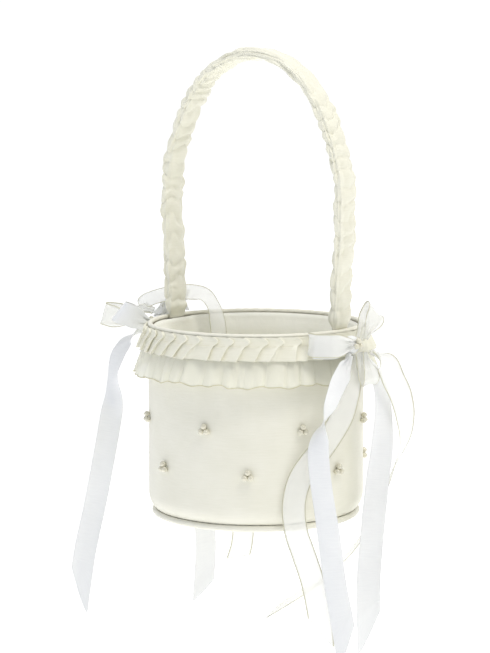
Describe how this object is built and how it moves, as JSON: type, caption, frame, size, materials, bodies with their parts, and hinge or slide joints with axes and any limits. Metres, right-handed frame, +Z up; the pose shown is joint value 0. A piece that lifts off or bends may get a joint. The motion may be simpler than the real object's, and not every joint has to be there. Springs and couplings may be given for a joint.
{
  "type": "flower girl basket",
  "caption": "Round satin-covered basket with a pleated ruffle at the rim, a tall arched padded handle, pearl trios on the wall and a ribbon bow with long tails at each foot of the handle.",
  "frame": {"origin": "middle of the underside of the handle's crest, where a hand carries it", "axes": "+Z up, X through the two feet of the handle, +Y to the back, away from the side with the long front tails"},
  "size_m": [0.2502, 0.174, 0.4121],
  "materials": {
    "board": "matte",
    "ivory_satin": "satin",
    "organza": "sheer",
    "thread": "matte",
    "wadding": "matte",
    "strip": "matte",
    "rivet_steel": "satin",
    "pearl": "pearl gloss"
  },
  "bodies": {
    "basket": {"tub_wall": "board", "tub_floor": "board", "base_board": "board", "base_cover": "ivory_satin", "base_piping": "ivory_satin", "wall_wadding": "wadding", "outer_cover": "ivory_satin", "lining_wall": "ivory_satin", "floor_pad": "wadding", "floor_lining": "ivory_satin", "rim_roll": "ivory_satin", "satin_ruffle": "ivory_satin", "organza_ruffle": "organza", "ruffle_thread": "thread", "handle_core": "strip", "handle_padding": "wadding", "handle_sleeve": "ivory_satin", "handle_rivets": "rivet_steel", "upper_pearls": "pearl", "lower_pearls": "pearl", "left_knot": "ivory_satin", "left_bow_pearls": "pearl", "left_satin_loops": "ivory_satin", "left_organza_loop": "organza", "left_organza_inner_tail": "organza", "right_knot": "ivory_satin", "right_bow_pearls": "pearl", "right_satin_loop": "ivory_satin", "right_organza_loops": "organza"},
    "left_tails": {"left_satin_front_tail": "ivory_satin", "left_satin_back_tail": "ivory_satin", "left_organza_tail": "organza"},
    "right_tails": {"right_satin_front_tail": "ivory_satin", "right_satin_side_tail": "ivory_satin", "right_organza_outer_tail": "organza", "right_organza_inner_tail": "organza", "right_drop_loop": "organza"}
  },
  "joints": [
    {"name": "left_tails_swing", "type": "hinge", "parent": "basket", "child": "left_tails", "pos_m": [-0.084, 0, -0.20125], "axis": [0, 1, 0], "range_deg": [0, 20]},
    {"name": "right_tails_swing", "type": "hinge", "parent": "basket", "child": "right_tails", "pos_m": [0.08346, -0.00951, -0.20125], "axis": [-0.1132, -0.9936, 0], "range_deg": [0, 20]}
  ]
}
